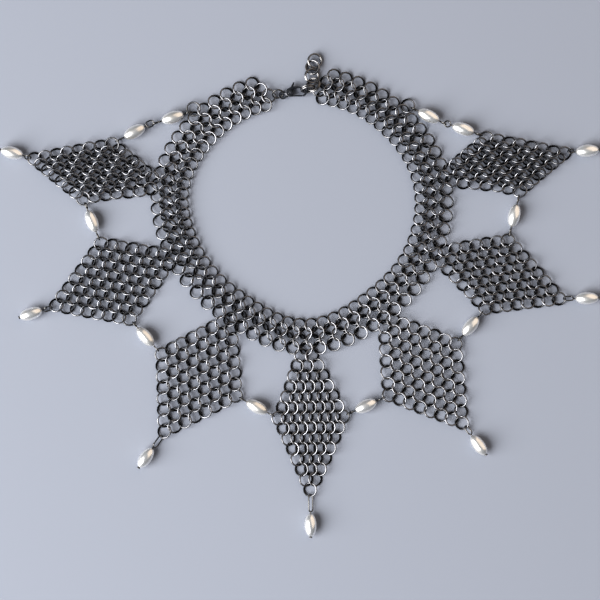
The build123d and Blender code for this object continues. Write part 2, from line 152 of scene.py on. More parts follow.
@dataclass
class WireBender:
    """Bends round wire in a bmesh by extruding and spinning its section."""

    bm: bmesh.types.BMesh
    radius: float
    sides: int

    def start(self, seat: Seat) -> list[bmesh.types.BMVert]:
        """Draws the wire's section square to a seat's x direction.

        Args:
            seat: Where the wire starts.

        Returns:
            The section's vertices.
        """
        turned = seat.matrix() @ Matrix.Rotation(math.pi / 2, 4, "Y")
        made = bmesh.ops.create_circle(
            self.bm, cap_ends=False, radius=self.radius, segments=self.sides, matrix=turned
        )
        return made["verts"]

    def run(self, verts: list[bmesh.types.BMVert], step: Vector) -> list[bmesh.types.BMVert]:
        """Carries the section straight on.

        Args:
            verts: The section's vertices.
            step: How far and which way.

        Returns:
            The vertices of the section at the end.
        """
        made = bmesh.ops.extrude_edge_only(self.bm, edges=edges_among(verts))
        moved = [item for item in made["geom"] if isinstance(item, bmesh.types.BMVert)]
        bmesh.ops.translate(self.bm, verts=moved, vec=step)
        return moved

    def turn(
        self, verts: list[bmesh.types.BMVert], centre: Vector, axis: Vector, angle: float, steps: int
    ) -> list[bmesh.types.BMVert]:
        """Carries the section round a bend.

        Args:
            verts: The section's vertices.
            centre: The middle of the bend.
            axis: The axis that the wire turns about.
            angle: How far it turns.
            steps: How many pieces the bend has.

        Returns:
            The vertices of the section at the end.
        """
        made = bmesh.ops.spin(
            self.bm, geom=edges_among(verts), cent=centre, axis=axis, dvec=(0, 0, 0),
            angle=angle, steps=steps, use_merge=False, use_normal_flip=False, use_duplicate=False,
        )
        return [item for item in made["geom_last"] if isinstance(item, bmesh.types.BMVert)]


def close_and_face_out(bm: bmesh.types.BMesh, weld: float) -> None:
    """Merges doubles, fills open ends, marks their rims sharp and turns every face outwards.

    Args:
        bm: The mesh to finish.
        weld: Vertices nearer than this become one.
    """
    bmesh.ops.remove_doubles(bm, verts=bm.verts, dist=weld)
    rims = [edge for edge in bm.edges if edge.is_boundary]
    if rims:
        bmesh.ops.holes_fill(bm, edges=rims, sides=0)
        for edge in rims:
            edge.smooth = False
    bmesh.ops.recalc_face_normals(bm, faces=bm.faces)


def finished_mesh(bm: bmesh.types.BMesh, name: str) -> bpy.types.Mesh:
    """Turns a bmesh into a smooth-shaded mesh and frees it.

    Args:
        bm: The bmesh.
        name: The mesh's name.

    Returns:
        The mesh.
    """
    for face in bm.faces:
        face.smooth = True
    mesh = bpy.data.meshes.new(name)
    bm.to_mesh(mesh)
    bm.free()
    return mesh


def set_tone(mesh: bpy.types.Mesh, tone: float) -> None:
    """Gives every vertex the tone that the finish reads, from 0, clean, to 1, darkened."""
    layer = mesh.attributes.get(TONE) or mesh.attributes.new(TONE, "FLOAT", "POINT")
    layer.data.foreach_set("value", [tone] * len(mesh.vertices))


# Finishes


class NodeTree:
    """Places and joins shader nodes in a material or a node group."""

    def __init__(self, tree: bpy.types.ShaderNodeTree) -> None:
        """Starts with the tree that the nodes go into."""
        self.tree = tree

    def feed(self, target: bpy.types.NodeSocket, value: object) -> None:
        """Joins an output to an input, or sets the input to a value.

        Args:
            target: The input.
            value: An output socket or a plain value.
        """
        if isinstance(value, bpy.types.NodeSocket):
            self.tree.links.new(value, target)
        else:
            target.default_value = value

    def add(self, kind: str, feeds: dict | None = None, **values: object) -> bpy.types.ShaderNode:
        """Adds a node, sets its properties and feeds its inputs.

        Args:
            kind: The node's type, without the word ShaderNode.
            feeds: Inputs by name or number, each with its output socket or plain value.
            **values: Properties of the node and their values.

        Returns:
            The node.
        """
        node = self.tree.nodes.new("ShaderNode" + kind)
        for name, value in values.items():
            setattr(node, name, value)
        for place, value in (feeds or {}).items():
            self.feed(node.inputs[place], value)
        return node

    def sums(
        self, operation: str, first: object, second: object, clamped: bool = False
    ) -> bpy.types.NodeSocket:
        """Output of a Math node for two numbers or sockets, kept from 0 to 1 where it is clamped."""
        return self.add("Math", {0: first, 1: second}, operation=operation, use_clamp=clamped).outputs[0]


def new_group(
    name: str, inputs: dict[str, object], outputs: dict[str, str]
) -> tuple[NodeTree, dict, dict]:
    """Starts a shader node group.

    Args:
        name: The group's name.
        inputs: Each input's name with its default value.
        outputs: Each output's name with its socket type.

    Returns:
        The group's tree, its inputs by name and its outputs by name.
    """
    group = bpy.data.node_groups.new(name, "ShaderNodeTree")
    for label, value in inputs.items():
        kind = "NodeSocketFloat"
        if isinstance(value, tuple):
            kind = "NodeSocketColor" if len(value) == 4 else "NodeSocketVector"
        socket = group.interface.new_socket(name=label, in_out="INPUT", socket_type=kind)
        socket.default_value = value
    for label, kind in outputs.items():
        group.interface.new_socket(name=label, in_out="OUTPUT", socket_type=kind)
    tree = NodeTree(group)
    start = group.nodes.new("NodeGroupInput")
    end = group.nodes.new("NodeGroupOutput")
    return tree, {s.name: s for s in start.outputs}, {s.name: s for s in end.inputs}


def patina_and_shade_group() -> bpy.types.ShaderNodeTree:
    """Builds the group that darkens metal in soft patches, and paints shade low down, darker towards the
    floor.

    Returns:
        The node group, which puts out a colour and a roughness.
    """
    middle, detail, contrast = 0.5, 3.0, 1.6
    tree, given, out = new_group(
        "patina_and_shade",
        {"Vector": (0.0, 0.0, 0.0), "Scale": 300.0, "Tone": middle, "Share": 0.5,
         "Clean": (0.8, 0.8, 0.8, 1.0), "Dark": (0.2, 0.2, 0.2, 1.0),
         "Painted Shade": (0.05, 0.05, 0.05, 1.0), "Low": -2.0, "High": -1.0,
         "Roughness": 0.25, "Spread": 0.1},
        {"Colour": "NodeSocketColor", "Roughness": "NodeSocketFloat"},
    )
    patches = tree.add("TexNoise", {"Detail": detail, "Vector": given["Vector"], "Scale": given["Scale"]})
    centred = tree.sums("SUBTRACT", patches.outputs["Fac"], middle)
    spread = tree.sums("MULTIPLY", centred, contrast)
    toned = tree.sums("SUBTRACT", given["Tone"], middle)
    shifted = tree.sums("ADD", tree.sums("ADD", spread, toned), given["Share"], clamped=True)
    film = tree.add("Mix", {"Factor": shifted, "A": given["Clean"], "B": given["Dark"]}, data_type="RGBA")
    # Painted shade: the colour turns dark towards the floor below the height Low, and keeps its own above
    # High.
    height = tree.add("SeparateXYZ", {"Vector": given["Vector"]}).outputs["Z"]
    out_of_painted_shade = tree.add(
        "MapRange", {"Value": height, "From Min": given["Low"], "From Max": given["High"]},
        interpolation_type="SMOOTHSTEP",
    ).outputs["Result"]
    film_with_painted_shade = tree.add(
        "Mix", {"Factor": out_of_painted_shade, "A": given["Painted Shade"], "B": film.outputs["Result"]}, data_type="RGBA"
    )
    tree.feed(out["Colour"], film_with_painted_shade.outputs["Result"])
    rougher = tree.sums("MULTIPLY", shifted, given["Spread"])
    tree.feed(out["Roughness"], tree.sums("ADD", given["Roughness"], rougher))
    return tree.tree


def tumble_group() -> bpy.types.ShaderNodeTree:
    """Builds the group of fine dents and scratches that tumbling leaves on small metal pieces.

    Returns:
        The node group, which puts out a height.
    """
    turn, stretch, scratch_share = (0.4, 0.9, 0.6), (1.0, 0.12, 0.3), 0.35
    tree, given, out = new_group(
        "tumble_marks",
        {"Vector": (0.0, 0.0, 0.0), "Dents": 1500.0, "Scratches": 5000.0},
        {"Height": "NodeSocketFloat"},
    )
    dents = tree.add("TexNoise", {"Vector": given["Vector"], "Scale": given["Dents"]})
    stretched = tree.add("Mapping", {"Vector": given["Vector"], "Rotation": turn, "Scale": stretch})
    scratches = tree.add(
        "TexNoise", {"Vector": stretched.outputs["Vector"], "Scale": given["Scratches"]}
    )
    weaker = tree.sums("MULTIPLY", scratches.outputs["Fac"], scratch_share)
    tree.feed(out["Height"], tree.sums("ADD", dents.outputs["Fac"], weaker))
    return tree.tree


class Slot(Enum):
    """The record's material slots."""

    MAIL = "mail_steel"
    BEAD = "bead_silver"
    PIN = "pin_wire"
    CLASP = "clasp_metal"


class Metal(Enum):
    """The finishes, some of them two looks of one slot."""

    WOVEN = "woven_steel"
    CHAIN = "chain_steel"
    BEAD = "satin_silver"
    PIN = "dark_wire"
    CLASP = "cast_clasp"


@dataclass(frozen=True)
class MetalFinish:
    """A metal surface: its clean and darkened colours, its polish and its marks.

    Between the heights low and high it goes from a dark painted shade colour to its own, painted shade that
    darkens the lower wires.
    """

    metal: Metal
    slot: Slot
    clean: Colour
    dark: Colour
    share: float
    patch_scale: float = 260.0
    roughness: float = 0.25
    spread: float = 0.1
    dents: float = 1400.0
    marks_depth: float = 0.006 * MM
    metallic: float = 1.0
    painted_shade: Colour = (0.05, 0.05, 0.05)
    low: float = -2.0
    high: float = -1.0

    def material(
        self, patina_and_shade: bpy.types.ShaderNodeTree, tumble: bpy.types.ShaderNodeTree
    ) -> bpy.types.Material:
        """Builds the material.

        Args:
            patina_and_shade: The group that darkens in patches and paints shade low down.
            tumble: The group of dents and scratches.

        Returns:
            The material.
        """
        made = bpy.data.materials.new(self.metal.value)
        made.use_nodes = True
        tree = NodeTree(made.node_tree)
        shader = made.node_tree.nodes["Principled BSDF"]
        place = tree.add("TexCoord").outputs["Object"]
        tone = tree.add("Attribute", attribute_name=TONE).outputs["Fac"]
        film = tree.add("Group", {
            "Vector": place, "Tone": tone, "Scale": self.patch_scale, "Share": self.share,
            "Clean": (*self.clean, 1.0), "Dark": (*self.dark, 1.0), "Painted Shade": (*self.painted_shade, 1.0),
            "Low": self.low, "High": self.high, "Roughness": self.roughness, "Spread": self.spread,
        }, node_tree=patina_and_shade)
        marks = tree.add("Group", {"Vector": place, "Dents": self.dents}, node_tree=tumble)
        bump = tree.add("Bump", {"Distance": self.marks_depth, "Height": marks.outputs["Height"]})
        surface = {"Metallic": self.metallic, "Base Color": film.outputs["Colour"],
                   "Roughness": film.outputs["Roughness"], "Normal": bump.outputs["Normal"]}
        for label, value in surface.items():
            tree.feed(shader.inputs[label], value)
        return made


FINISHES = (
    # Painted shade: the woven mail's lower wires darken towards near black, fully below 1.1 mm above the
    # floor and not at all above 3.1 mm.
    MetalFinish(
        metal=Metal.WOVEN, slot=Slot.MAIL, clean=(0.3, 0.3, 0.315), dark=(0.12, 0.117, 0.115), share=0.37,
        roughness=0.3, painted_shade=(0.02, 0.019, 0.019), low=1.1 * MM, high=3.1 * MM,
    ),
    MetalFinish(
        metal=Metal.CHAIN, slot=Slot.MAIL, clean=(0.36, 0.355, 0.36), dark=(0.14, 0.13, 0.12), share=0.4,
    ),
    MetalFinish(
        metal=Metal.BEAD, slot=Slot.BEAD, clean=(0.95, 0.94, 0.92), dark=(0.84, 0.79, 0.71), share=0.2,
        patch_scale=180.0, roughness=0.27, spread=0.08, dents=700.0, marks_depth=0.008 * MM, metallic=0.85,
    ),
    MetalFinish(
        metal=Metal.PIN, slot=Slot.PIN, clean=(0.2, 0.195, 0.19), dark=(0.07, 0.065, 0.06), share=0.4,
        patch_scale=400.0,
    ),
    MetalFinish(
        metal=Metal.CLASP, slot=Slot.CLASP, clean=(0.3, 0.3, 0.32), dark=(0.08, 0.075, 0.07), share=0.35,
        patch_scale=350.0, roughness=0.15, dents=900.0, marks_depth=0.01 * MM,
    ),
)


@dataclass
class Workshop:
    """Turns meshes into pieces: each gets its finish and its body, and the node that it stands for is hidden.
    """

    materials: dict[Metal, bpy.types.Material] = field(default_factory=dict)
    slots: dict[Metal, Slot] = field(default_factory=dict)
    pieces: int = 0

    def mix_finishes(self) -> None:
        """Builds the shared groups and every finish."""
        patina_and_shade = patina_and_shade_group()
        tumble = tumble_group()
        for finish in FINISHES:
            self.materials[finish.metal] = finish.material(patina_and_shade, tumble)
            self.slots[finish.metal] = finish.slot

    def place(self, mesh: bpy.types.Mesh, metal: Metal, node: str, body: str = BODY) -> None:
        """Adds a piece to the scene in the place of a node, under its mesh's name.

        Args:
            mesh: The piece's mesh, already where it belongs.
            metal: The finish that it takes.
            node: The node that it stands for.
            body: The body that it moves with.
        """
        piece = bpy.data.objects.new(mesh.name, mesh)
        bpy.context.scene.collection.objects.link(piece)
        mesh.materials.clear()
        mesh.materials.append(self.materials[metal])
        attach(piece, body)
        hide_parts(node)
        self.pieces += 1
        log.info("%s: %d faces for %s", mesh.name, len(mesh.polygons), node)


# Rings


@dataclass(frozen=True)
class RingShape:
    """A ring of round wire with its two cut ends butted together.

    The fullness lets a section with few sides have the area of the round wire.
    """

    wire: float
    bore: float
    segments: int
    sides: int
    seam: float = math.radians(1.6)
    fullness: float = 1.149
    weld: float = 0.0009 * MM

    @property
    def middle(self) -> float:
        """Radius at the middle of the wire."""
        return (self.bore + self.wire) / 2

    def mesh(self, name: str) -> bpy.types.Mesh:
        """Spins the wire's section almost all the way round and closes both ends.

        Args:
            name: The mesh's name.

        Returns:
            A ring about the origin, its axis along z and its cut ends at +x.
        """
        bm = bmesh.new()
        bender = WireBender(bm, self.wire / 2 * self.fullness, self.sides)
        axis = Vector((0, 0, 1))
        first = Seat(Vector((self.middle, 0, 0)), Vector((0, 1, 0)), axis)
        bender.turn(bender.start(first), Vector((0, 0, 0)), axis, math.tau - self.seam, self.segments)
        close_and_face_out(bm, self.weld)
        return finished_mesh(bm, name)


@dataclass
class RingField:
    """Copies one ring shape to many seats and joins the copies in one mesh."""

    shape: RingShape
    dice: random.Random
    sway: float = 0.0
    drift: float = 0.0
    nod_share: float = 0.5
    tones: tuple[float, float] = (0.25, 0.75)

    def __post_init__(self) -> None:
        """Makes the ring that is copied."""
        self.bm = bmesh.new()
        self.ring = self.shape.mesh("ring_pattern")

    def add(self, seat: Seat, loose: bool) -> None:
        """Adds a ring with its cut at a drawn angle and a tone of its own, lifted if it dips below the floor.

        Args:
            seat: The ring's seat.
            loose: Whether the ring may sway a little from its seat.
        """
        turned = Matrix.Rotation(self.dice.uniform(0, math.tau), 4, "Z")
        tone = self.dice.uniform(*self.tones)
        if loose:
            swing = Matrix.Rotation(self.dice.gauss(0, self.sway), 4, "X")
            nod = Matrix.Rotation(self.dice.gauss(0, self.sway) * self.nod_share, 4, "Y")
            slip = Matrix.Translation((self.dice.gauss(0, self.drift), self.dice.gauss(0, self.drift), 0))
            turned = slip @ swing @ nod @ turned
        copied = self.ring.copy()
        copied.transform(seat.matrix() @ turned)
        sunk = min(vert.co.z for vert in copied.vertices)
        if sunk < 0:
            copied.transform(Matrix.Translation((0, 0, -sunk)))
        set_tone(copied, tone)
        self.bm.from_mesh(copied)
        bpy.data.meshes.remove(copied)

    def mesh(self, name: str) -> bpy.types.Mesh:
        """Hands over the joined rings and clears the pattern away.

        Args:
            name: The mesh's name.

        Returns:
            The mesh of all the rings.
        """
        joined = finished_mesh(self.bm, name)
        bpy.data.meshes.remove(self.ring)
        return joined


# Mail


@dataclass(frozen=True)
class Station:
    """A place that the collar's oval passes: its angle and its shares of the neck and the band."""

    angle: float
    neck: float
    band: float


@dataclass(frozen=True)
class Drop:
    """A diamond of mail and the bead that hangs from its tip.

    Row and side are its spacings as shares of the usual ones. Bow is its sideways bulge, and reach
    the gap from the wire of its last ring to its bead. The rest are degrees: its lean, the skew of
    its rows, the swing of its bead, and how far the rings inside it turn and how much steeper they
    stand, which keeps them further apart in the two drops that are much skewed.
    """

    name: str
    station: int
    lean: float
    row: float
    side: float
    skew: float
    bow: float
    swing: float
    reach: float
    turn: float = 0.0
    stand: float = 0.0


@dataclass(frozen=True)
class StrandBead:
    """A bead of a strand: its share of the span, its bulge and how far it turns."""

    share: float
    bulge: float
    turn: float


@dataclass(frozen=True)
class Strand:
    """Two beads that tie an extra collar ring to an upper drop."""

    name: str
    column: float
    row: float
    drop: int
    side: int
    beads: tuple[StrandBead, StrandBead]


STATIONS = (
    Station(-165.6, 0.979, 0.94),
    Station(-133.4, 1.015, 0.96),
    Station(-102.2, 1.061, 1.00),
    Station(-71.3, 1.033, 0.98),
    Station(-37.5, 0.982, 1.01),
    Station(-2.5, 1.023, 0.93),
    Station(32.0, 0.940, 0.95),
    Station(69.1, 0.978, 0.98),
    Station(99.4, 1.034, 0.98),
    Station(130.3, 0.985, 1.00),
    Station(164.3, 0.941, 0.94),
)
DROPS = (
    Drop("upper_right", 2, -1.3, 1.08, 0.90, 22.0, 0.4 * MM, -6.0, 2.8 * MM, turn=-24.0, stand=13.0),
    Drop("mid_right", 3, -1.4, 1.16, 1.03, 1.7, 0.8 * MM, 21.5, 5.5 * MM),
    Drop("lower_right", 4, -1.1, 1.16, 1.21, 1.1, -0.3 * MM, 0.5, 5.3 * MM),
    Drop("centre", 5, -0.9, 1.26, 0.93, 0.0, 1.4 * MM, -1.0, 9.6 * MM),
    Drop("lower_left", 6, 1.6, 1.15, 1.22, 1.2, 0.6 * MM, -5.0, 7.9 * MM),
    Drop("mid_left", 7, 2.0, 1.11, 1.16, -2.2, 0.5 * MM, -4.5, 4.6 * MM),
    Drop("upper_left", 8, -2.3, 1.12, 0.89, -16.5, -0.4 * MM, -3.0, 2.6 * MM, turn=22.0, stand=6.0),
)
STRANDS = (
    Strand(
        "right", 6.5, 4.0, 0, -1,
        (StrandBead(0.273, -0.9 * MM, -3.5), StrandBead(0.706, -0.2 * MM, 4.5)),
    ),
    Strand(
        "left", 55.0, 3.95, 6, 1,
        (StrandBead(0.252, -0.1 * MM, -5.5), StrandBead(0.71, -1.3 * MM, 4.0)),
    ),
)


@dataclass(frozen=True)
class MailLayout:
    """Where every ring of the four-in-one weave sits.

    Tilts are in degrees, and the link, row, side and neck shares are of the bore. A ring that
    carries something rises or sinks by a tilt and a lift of its own.
    """

    wire: float = 0.9 * MM
    bore: float = 7.0 * MM
    tilt: float = 24.0
    rising_tilt: float = 16.0
    rising_lift: float = -0.16 * MM
    sinking_tilt: float = 10.0
    sinking_lift: float = 0.39 * MM
    link_share: float = 0.914
    row_share: float = 0.677
    side_share: float = 0.814
    neck_share: float = 0.9
    links_between: int = 6
    first_station: float = 0.5
    end_row: int = 1
    gather: float = 0.05
    collar_counts: tuple[int, ...] = (61, 62, 61, 60)
    drop_counts: tuple[int, ...] = (2, 3, 4, 5, 6, 7, 8, 7, 6, 5, 4, 3, 2, 1)
    rows_above_drops: float = 3.95
    settling_rows: int = 4

    @property
    def middle(self) -> float:
        """Radius of a ring at the middle of its wire."""
        return (self.bore + self.wire) / 2

    @property
    def height(self) -> float:
        """Height of the mail as it lies."""
        return 2 * self.middle * math.sin(math.radians(self.tilt)) + self.wire

    @property
    def neck_radius(self) -> float:
        """Radius of the neck line if it were round."""
        turn = math.radians(STATIONS[-1].angle - STATIONS[0].angle)
        return (self.collar_counts[0] - 1) * self.link_share * self.bore / turn

    @property
    def collar_rows(self) -> int:
        """How many rows the collar has, which is the number of the drops' first row."""
        return len(self.collar_counts)

    @property
    def widest_row(self) -> int:
        """Row of a drop that has its corners."""
        return self.drop_counts.index(max(self.drop_counts))

    @property
    def tip_row(self) -> int:
        """Last row of a drop."""
        return len(self.drop_counts) - 1

    def collar_point(self, column: float, row: float) -> complex:
        """Place of a collar ring seen from above.

        Args:
            column: Steps along the collar from its right end.
            row: Steps out from the neck.

        Returns:
            The place as a complex number.
        """
        place = (column - self.first_station) / self.links_between
        radius = self.neck_radius * between([s.neck for s in STATIONS], place)
        radius += row * self.row_share * self.bore * between([s.band for s in STATIONS], place)
        swell = math.sin(2 * math.pi * place) / self.links_between
        place -= self.gather * row / (self.collar_rows - 1) * swell
        angle = math.radians(between([s.angle for s in STATIONS], place))
        return complex(-radius * math.sin(angle), -radius * math.cos(angle))

    def collar_along(self, column: float, row: float) -> complex:
        """Step from one ring to the next along a row of the collar."""
        return self.collar_point(column + 0.5, row) - self.collar_point(column - 0.5, row)

    def first_column(self, row: int) -> float:
        """Column of a collar row's first ring, the row being centred on the neck row."""
        return (self.collar_counts[0] - self.collar_counts[row]) / 2

    def drop_column(self, drop: Drop) -> float:
        """Column of the collar that a drop hangs from."""
        return self.first_station + self.links_between * drop.station

    def drop_axis(self, drop: Drop) -> complex:
        """Direction that a drop hangs in."""
        neck = self.collar_point(self.drop_column(drop), 0)
        return unit(neck) * cmath.rect(1, math.radians(drop.lean))

    def drop_point(self, drop: Drop, across: float, row: float) -> tuple[complex, complex]:
        """Place and row direction of a ring of a drop.

        Args:
            drop: The drop.
            across: Steps across from the drop's middle.
            row: Steps down the drop.

        Returns:
            The place and the direction as complex numbers.
        """
        column = self.drop_column(drop)
        neck = self.collar_point(column, self.rows_above_drops)
        axis = unit(neck) * cmath.rect(1, math.radians(drop.lean))
        share = row / self.tip_row
        middle = neck + axis * share * self.tip_row * self.row_share * self.bore * drop.row
        middle += axis * 1j * drop.bow * 4 * share * (1 - share)
        side_step = self.side_share * self.bore * drop.side
        side = axis * -1j * cmath.rect(side_step, math.radians(drop.skew))
        neck_step = self.collar_along(column, self.rows_above_drops)
        neck_side = unit(neck_step) * min(abs(neck_step), self.neck_share * self.bore)
        settled = self.settled(row)
        step = side * settled + neck_side * (1 - settled)
        return middle + step * across, unit(step)

    def settled(self, row: float) -> float:
        """Share of a drop's own lay that its rings have taken on by a row."""
        return 1 - max(0.0, 1 - row / self.settling_rows) ** 2

    def row_sign(self, row: float) -> int:
        """Rows tip alternately about the line that runs out from the neck."""
        return 1 if round(row) % 2 == 0 else -1

    def seat(self, place: complex, along: complex, tilt: float, lift: float) -> Seat:
        """Seat of a ring whose row direction tips up by the tilt.

        Args:
            place: Its place seen from above.
            along: Its row's direction.
            tilt: How far it tips, in degrees.
            lift: How far its middle is lifted.

        Returns:
            The seat.
        """
        lean = math.radians(tilt)
        return Seat(
            origin=Vector((place.real, place.imag, self.height / 2 + lift)),
            x_dir=Vector((along.real * math.cos(lean), along.imag * math.cos(lean), math.sin(lean))),
            z_dir=Vector((-along.real * math.sin(lean), -along.imag * math.sin(lean), math.cos(lean))),
        )

    def woven_seat(self, place: complex, along: complex, row: float) -> Seat:
        """Seat of a ring inside the weave."""
        return self.seat(place, along, self.row_sign(row) * self.tilt, 0.0)

    def drop_seat(self, drop: Drop, across: float, row: float) -> Seat:
        """Seat of a ring inside a drop, steeper where a skewed weave crowds the rings.

        Args:
            drop: The drop.
            across: Steps across from the drop's middle.
            row: Steps down the drop.

        Returns:
            The seat, lifted so that the steeper ring still stands on the floor.
        """
        place, along = self.drop_point(drop, across, row)
        settled = self.settled(row)
        tilt = self.tilt + drop.stand * settled
        turned = along * cmath.rect(1, math.radians(drop.turn * settled))
        lift = self.middle * (math.sin(math.radians(tilt)) - math.sin(math.radians(self.tilt)))
        return self.seat(place, turned, self.row_sign(self.collar_rows + row) * tilt, lift)

    def carrying_seat(self, place: complex, along: complex, row: float, out: int) -> Seat:
        """Seat of a ring that carries something on its outer side.

        Args:
            place: Its place seen from above.
            along: Its row's direction.
            row: Its row.
            out: The side that carries, 1 along the row or -1 against it.

        Returns:
            The seat, which rises or sinks with the row.
        """
        sign = self.row_sign(row)
        if sign * out > 0:
            return self.seat(place, along, sign * self.rising_tilt, self.rising_lift)
        return self.seat(place, along, sign * self.sinking_tilt, self.sinking_lift)

    def corner_seat(self, drop: Drop, side: int) -> Seat:
        """Seat of the ring at a corner of a drop.

        Args:
            drop: The drop.
            side: -1 for its right corner, 1 for its left.

        Returns:
            The seat.
        """
        across = side * (self.drop_counts[self.widest_row] - 1) / 2
        place, along = self.drop_point(drop, across, self.widest_row)
        return self.carrying_seat(place, along, self.collar_rows + self.widest_row, side)

    def tip_seat(self, drop: Drop) -> Seat:
        """Seat of the last ring of a drop."""
        place, along = self.drop_point(drop, 0, self.tip_row)
        return self.woven_seat(place, along, self.collar_rows + self.tip_row)

    def strand_seat(self, strand: Strand) -> Seat:
        """Seat of the extra collar ring that carries a strand.

        Args:
            strand: The strand.

        Returns:
            The seat.
        """
        place = self.collar_point(strand.column, strand.row)
        along = unit(self.collar_along(strand.column, strand.row))
        return self.carrying_seat(place, along, self.collar_rows, -strand.side)

    def end_seat(self, out: int) -> Seat:
        """Seat of the ring that carries the closure.

        Args:
            out: -1 at the collar's right end, 1 at its left.

        Returns:
            The seat.
        """
        column = self.first_column(self.end_row)
        if out > 0:
            column += self.collar_counts[self.end_row] - 1
        along = unit(self.collar_along(column, self.end_row))
        return self.carrying_seat(self.collar_point(column, self.end_row), along, self.end_row, out)


@dataclass
class Mail:
    """The collar in two halves and the drops, each a mesh of separate interlinked rings."""

    layout: MailLayout
    workshop: Workshop
    segments: int = 14
    sides: int = 5
    sway: float = math.radians(1.1)
    drift: float = 0.03 * MM
    seed: int = 41
    drop_seed: int = 10

    def new_field(self, seed: int) -> RingField:
        """Starts a mesh of mail rings with its own draw of small differences."""
        shape = RingShape(self.layout.wire, self.layout.bore, self.segments, self.sides)
        return RingField(shape, random.Random(self.seed + seed), self.sway, self.drift)

    def collar_half(self, side: int) -> RingField:
        """Lays the rings of one half of the collar.

        Args:
            side: -1 for the right half, 1 for the left.

        Returns:
            The field of its rings.
        """
        layout = self.layout
        rings = self.new_field(side + 1)
        middle = layout.collar_counts[0] / 2
        for row, count in enumerate(layout.collar_counts):
            for k in range(count):
                column = layout.first_column(row) + k
                if (column > middle) != (side > 0):
                    continue
                if row == layout.end_row and k in (0, count - 1):
                    rings.add(layout.end_seat(side), loose=False)
                    continue
                along = unit(layout.collar_along(column, row))
                rings.add(layout.woven_seat(layout.collar_point(column, row), along, row), loose=True)
        strand = next(s for s in STRANDS if (s.name == "left") == (side > 0))
        rings.add(layout.strand_seat(strand), loose=False)
        return rings

    def drop(self, drop: Drop, number: int) -> RingField:
        """Lays the rings of a drop.

        Args:
            drop: The drop.
            number: Its place in the table, which seeds its draw.

        Returns:
            The field of its rings.
        """
        layout = self.layout
        rings = self.new_field(self.drop_seed + number)
        for row, count in enumerate(layout.drop_counts):
            for k in range(count):
                across = k - (count - 1) / 2
                if row == layout.tip_row:
                    rings.add(layout.tip_seat(drop), loose=False)
                elif row == layout.widest_row and k in (0, count - 1):
                    rings.add(layout.corner_seat(drop, 1 if across > 0 else -1), loose=False)
                else:
                    rings.add(layout.drop_seat(drop, across, row), loose=True)
        return rings

    def build(self) -> None:
        """Makes every piece of mail."""
        for name, side in (("right", -1), ("left", 1)):
            mesh = self.collar_half(side).mesh(f"collar_{name}_rings")
            self.workshop.place(mesh, Metal.WOVEN, f"collar_{name}_mail")
        for number, drop in enumerate(DROPS):
            mesh = self.drop(drop, number).mesh(f"drop_{drop.name}_rings")
            self.workshop.place(mesh, Metal.WOVEN, f"drop_{drop.name}_mail")


# Beads on pins


@dataclass(frozen=True)
class Loop:
    """A pin's loop: its end of the bead, how far it reaches, its roll and its sideways shift."""

    sign: int
    reach: float
    roll: float
    shift: float


